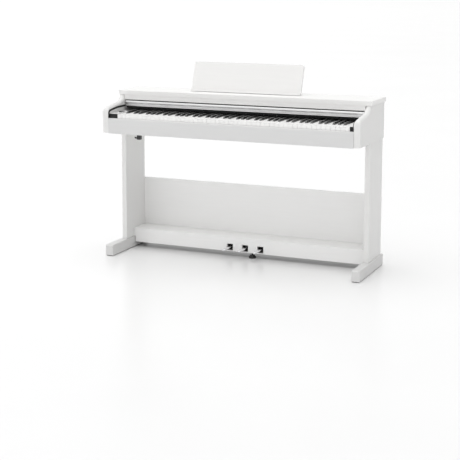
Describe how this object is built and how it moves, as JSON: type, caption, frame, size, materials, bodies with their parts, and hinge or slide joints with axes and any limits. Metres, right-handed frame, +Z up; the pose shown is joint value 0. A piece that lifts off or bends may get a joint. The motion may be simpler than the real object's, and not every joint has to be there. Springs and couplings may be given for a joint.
{
  "type": "digital piano on stand",
  "caption": "Slim white home digital piano with a sliding key cover, music rest and three pedals, on a slab-legged stand.",
  "frame": {"origin": "on the floor under the middle of the bounding box", "axes": "+Z up, +X the player's right, the player sits on the -Y side"},
  "size_m": [1.36, 0.419, 0.9952],
  "materials": {
    "case_white": "satin white foil-wrapped board, faintly grained",
    "key_white": "smooth satin ivory-white plastic",
    "key_black": "satin black plastic",
    "trim_black": "fine-textured black plastic",
    "cover_silver": "satin silver extrusion",
    "pedal_chrome": "polished",
    "steel": "plain plated",
    "pad_rubber": "matte",
    "chassis_grey": "plain moulded",
    "felt": "black felt",
    "circuit": "green circuit laminate",
    "raw_board": "dark painted fibreboard"
  },
  "bodies": {
    "cabinet": {"left_side_panel": "case_white", "right_side_panel": "case_white", "top_board": "case_white", "nameboard": "case_white", "back_panel": "case_white", "keybed": "case_white", "key_slip": "case_white", "left_leg": "case_white", "right_leg": "case_white", "left_foot": "case_white", "right_foot": "case_white", "kick_board": "case_white", "pedal_box_front": "case_white", "pedal_box_top": "case_white", "key_felt_rail": "felt", "left_foot_pad": "pad_rubber", "right_foot_pad": "pad_rubber", "pedal_box_base": "raw_board", "pedal_shaft": "steel", "pedal_bracket": "steel", "music_rest_hinge": "steel", "keyboard_chassis": "chassis_grey", "left_cheek_block": "trim_black", "right_cheek_block": "trim_black", "left_cover_rail": "trim_black", "right_cover_rail": "trim_black", "left_speaker": "trim_black", "right_speaker": "trim_black", "headphone_box": "trim_black", "headphone_hook": "trim_black", "socket_panel": "trim_black", "main_board": "circuit"},
    "key_cover": {"cover_front_rail": "cover_silver", "cover_panel": "case_white"},
    "music_rest_flap": {"music_rest": "case_white", "music_rest_ledge": "case_white"},
    "music_rest_prop": {"music_rest_stay": "steel"},
    "left_pedal_lever": {"left_pedal": "pedal_chrome"},
    "middle_pedal_lever": {"middle_pedal": "pedal_chrome"},
    "right_pedal_lever": {"right_pedal": "pedal_chrome"},
    "adjuster": {"adjuster_bolt": "trim_black"},
    "power_push": {"power_button": "trim_black"},
    "sound_push": {"sound_button": "trim_black"},
    "volume_cap": {"volume_slider": "trim_black"},
    "whites_low": {"white_keys_low": "key_white"},
    "whites_high": {"white_keys_high": "key_white"},
    "blacks_low": {"black_keys_low": "key_black"},
    "blacks_high": {"black_keys_high": "key_black"},
    "white_c4": {"key_c4": "key_white"},
    "white_d4": {"key_d4": "key_white"},
    "white_e4": {"key_e4": "key_white"},
    "white_f4": {"key_f4": "key_white"},
    "white_g4": {"key_g4": "key_white"},
    "white_a4": {"key_a4": "key_white"},
    "white_b4": {"key_b4": "key_white"},
    "black_c_sharp4": {"key_c_sharp4": "key_black"},
    "black_d_sharp4": {"key_d_sharp4": "key_black"},
    "black_f_sharp4": {"key_f_sharp4": "key_black"},
    "black_g_sharp4": {"key_g_sharp4": "key_black"},
    "black_a_sharp4": {"key_a_sharp4": "key_black"}
  },
  "joints": [
    {"name": "key_cover_slide", "type": "slide", "parent": "cabinet", "child": "key_cover", "axis": [0, -0.9982, -0.0599], "range_m": [0, 0.16]},
    {"name": "music_rest_fold", "type": "hinge", "parent": "cabinet", "child": "music_rest_flap", "pos_m": [-0.018, 0.09843, 0.84907], "axis": [-1, 0, 0], "range_deg": [0, 71]},
    {"name": "music_rest_prop_swing", "type": "hinge", "parent": "music_rest_flap", "child": "music_rest_prop", "pos_m": [-0.018, 0.12285, 0.91999], "axis": [1, 0, 0], "range_deg": [0, 143]},
    {"name": "left_pedal_press", "type": "hinge", "parent": "cabinet", "child": "left_pedal_lever", "pos_m": [-0.091, 0.15, 0.05], "axis": [1, 0, 0], "range_deg": [0, 5], "stiffness_Nm_per_rad": 20, "springref_deg": -5.73},
    {"name": "middle_pedal_press", "type": "hinge", "parent": "cabinet", "child": "middle_pedal_lever", "pos_m": [-0.007, 0.15, 0.05], "axis": [1, 0, 0], "range_deg": [0, 5], "stiffness_Nm_per_rad": 20, "springref_deg": -5.73},
    {"name": "right_pedal_press", "type": "hinge", "parent": "cabinet", "child": "right_pedal_lever", "pos_m": [0.077, 0.15, 0.05], "axis": [1, 0, 0], "range_deg": [0, 5], "stiffness_Nm_per_rad": 20, "springref_deg": -5.73},
    {"name": "adjuster_turn", "type": "hinge", "parent": "cabinet", "child": "adjuster", "pos_m": [0.032, 0.0725, 0.008], "axis": [0, 0, 1], "continuous": true},
    {"name": "power_button_press", "type": "slide", "parent": "cabinet", "child": "power_push", "axis": [0, 0, -1], "range_m": [0, 0.0015], "stiffness_N_per_m": 400, "springref_m": -0.001},
    {"name": "sound_button_press", "type": "slide", "parent": "cabinet", "child": "sound_push", "axis": [0, 0, -1], "range_m": [0, 0.0015], "stiffness_N_per_m": 400, "springref_m": -0.001},
    {"name": "volume_slide", "type": "slide", "parent": "cabinet", "child": "volume_cap", "axis": [0, 1, 0], "range_m": [0, 0.04]},
    {"name": "white_keys_low_press", "type": "hinge", "parent": "cabinet", "child": "whites_low", "pos_m": [0, 0.066, 0.731], "axis": [1, 0, 0], "range_deg": [0, 2.25], "stiffness_Nm_per_rad": 46, "springref_deg": -8.59},
    {"name": "white_keys_high_press", "type": "hinge", "parent": "cabinet", "child": "whites_high", "pos_m": [0, 0.066, 0.731], "axis": [1, 0, 0], "range_deg": [0, 2.25], "stiffness_Nm_per_rad": 44, "springref_deg": -8.59},
    {"name": "black_keys_low_press", "type": "hinge", "parent": "cabinet", "child": "blacks_low", "pos_m": [0, 0.066, 0.731], "axis": [1, 0, 0], "range_deg": [0, 2.25], "stiffness_Nm_per_rad": 32, "springref_deg": -8.59},
    {"name": "black_keys_high_press", "type": "hinge", "parent": "cabinet", "child": "blacks_high", "pos_m": [0, 0.066, 0.731], "axis": [1, 0, 0], "range_deg": [0, 2.25], "stiffness_Nm_per_rad": 30, "springref_deg": -8.59},
    {"name": "key_c4_press", "type": "hinge", "parent": "cabinet", "child": "white_c4", "pos_m": [0, 0.066, 0.731], "axis": [1, 0, 0], "range_deg": [0, 2.25], "stiffness_Nm_per_rad": 2, "springref_deg": -8.59},
    {"name": "key_d4_press", "type": "hinge", "parent": "cabinet", "child": "white_d4", "pos_m": [0, 0.066, 0.731], "axis": [1, 0, 0], "range_deg": [0, 2.25], "stiffness_Nm_per_rad": 2, "springref_deg": -8.59},
    {"name": "key_e4_press", "type": "hinge", "parent": "cabinet", "child": "white_e4", "pos_m": [0, 0.066, 0.731], "axis": [1, 0, 0], "range_deg": [0, 2.25], "stiffness_Nm_per_rad": 2, "springref_deg": -8.59},
    {"name": "key_f4_press", "type": "hinge", "parent": "cabinet", "child": "white_f4", "pos_m": [0, 0.066, 0.731], "axis": [1, 0, 0], "range_deg": [0, 2.25], "stiffness_Nm_per_rad": 2, "springref_deg": -8.59},
    {"name": "key_g4_press", "type": "hinge", "parent": "cabinet", "child": "white_g4", "pos_m": [0, 0.066, 0.731], "axis": [1, 0, 0], "range_deg": [0, 2.25], "stiffness_Nm_per_rad": 2, "springref_deg": -8.59},
    {"name": "key_a4_press", "type": "hinge", "parent": "cabinet", "child": "white_a4", "pos_m": [0, 0.066, 0.731], "axis": [1, 0, 0], "range_deg": [0, 2.25], "stiffness_Nm_per_rad": 2, "springref_deg": -8.59},
    {"name": "key_b4_press", "type": "hinge", "parent": "cabinet", "child": "white_b4", "pos_m": [0, 0.066, 0.731], "axis": [1, 0, 0], "range_deg": [0, 2.25], "stiffness_Nm_per_rad": 2, "springref_deg": -8.59},
    {"name": "key_c_sharp4_press", "type": "hinge", "parent": "cabinet", "child": "black_c_sharp4", "pos_m": [0, 0.066, 0.731], "axis": [1, 0, 0], "range_deg": [0, 2.25], "stiffness_Nm_per_rad": 2, "springref_deg": -8.59},
    {"name": "key_d_sharp4_press", "type": "hinge", "parent": "cabinet", "child": "black_d_sharp4", "pos_m": [0, 0.066, 0.731], "axis": [1, 0, 0], "range_deg": [0, 2.25], "stiffness_Nm_per_rad": 2, "springref_deg": -8.59},
    {"name": "key_f_sharp4_press", "type": "hinge", "parent": "cabinet", "child": "black_f_sharp4", "pos_m": [0, 0.066, 0.731], "axis": [1, 0, 0], "range_deg": [0, 2.25], "stiffness_Nm_per_rad": 2, "springref_deg": -8.59},
    {"name": "key_g_sharp4_press", "type": "hinge", "parent": "cabinet", "child": "black_g_sharp4", "pos_m": [0, 0.066, 0.731], "axis": [1, 0, 0], "range_deg": [0, 2.25], "stiffness_Nm_per_rad": 2, "springref_deg": -8.59},
    {"name": "key_a_sharp4_press", "type": "hinge", "parent": "cabinet", "child": "black_a_sharp4", "pos_m": [0, 0.066, 0.731], "axis": [1, 0, 0], "range_deg": [0, 2.25], "stiffness_Nm_per_rad": 2, "springref_deg": -8.59}
  ],
  "couplings": [
    {"joint": "music_rest_prop_swing", "follows": "music_rest_fold", "ratio": 2.014}
  ]
}
